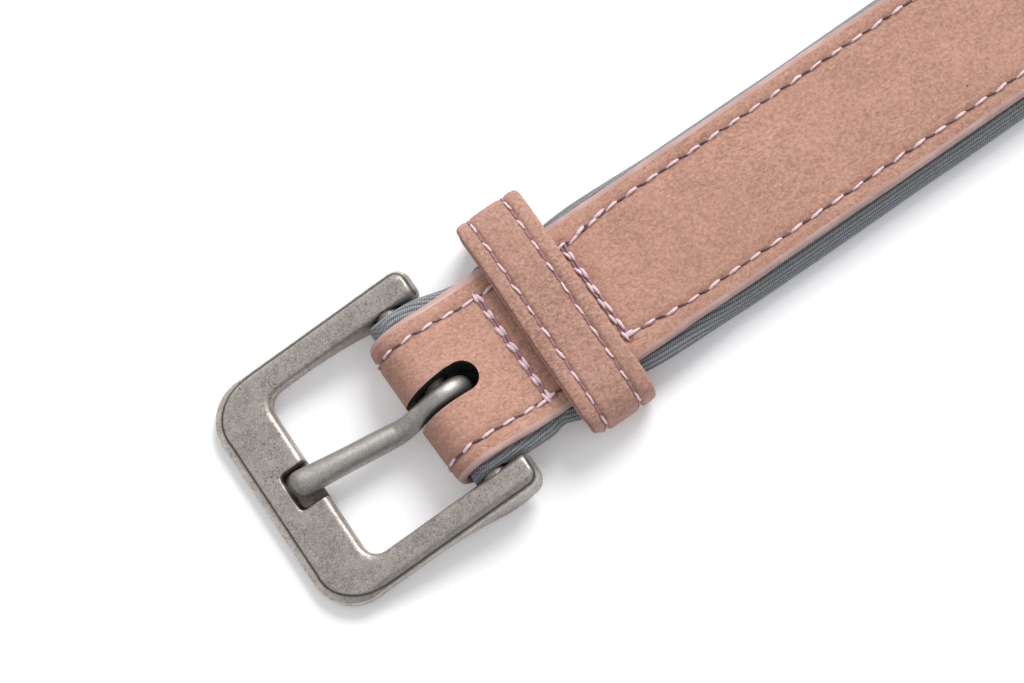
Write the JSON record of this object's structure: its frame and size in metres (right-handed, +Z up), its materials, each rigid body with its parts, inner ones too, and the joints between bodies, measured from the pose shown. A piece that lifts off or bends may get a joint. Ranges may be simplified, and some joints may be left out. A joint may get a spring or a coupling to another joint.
{
  "type": "dog collar",
  "caption": "Padded leather dog collar lying open and flat: a cast prong buckle tilts on a heel bar in the strap's fold, with a flattened keeper loop beside it.",
  "frame": {"origin": "under the middle of the whole collar, on the surface that it lies on", "axes": "+X runs along the strap from the buckle to the tip, +Z is up, out of the leather's face, and +Y is across the strap"},
  "size_m": [0.48, 0.0406, 0.0118],
  "materials": {
    "leather": "matte nubuck-like leather, dusty pink, with smooth painted edges",
    "padding_fabric": "blue-grey knitted fabric with fine lengthwise ribs",
    "keeper_leather": "matte nubuck-like leather, dusty pink, folded edges",
    "buckle_metal": "cast zinc with a worn antique-nickel patina",
    "bar_metal": "plain nickel-plated steel",
    "prong_metal": "cast zinc with a worn antique-nickel patina"
  },
  "bodies": {
    "strap": {"strap_leather_fold": "leather", "strap_leather": "leather", "strap_leather_tip": "leather", "padding_fold": "padding_fabric", "padding": "padding_fabric", "keeper": "keeper_leather"},
    "buckle": {"buckle_frame": "buckle_metal", "heel_bar": "bar_metal"},
    "tongue": {"prong": "prong_metal"}
  },
  "joints": [
    {"name": "buckle_tilt", "type": "hinge", "parent": "strap", "child": "buckle", "pos_m": [-0.20797, -0.00021, 0.0057], "axis": [0.0209, 0.9998, 0], "range_deg": [-35, 40]},
    {"name": "prong_swing", "type": "hinge", "parent": "buckle", "child": "tongue", "pos_m": [-0.20797, -0.00021, 0.0057], "axis": [0.0209, 0.9998, 0], "range_deg": [0, 90]}
  ]
}
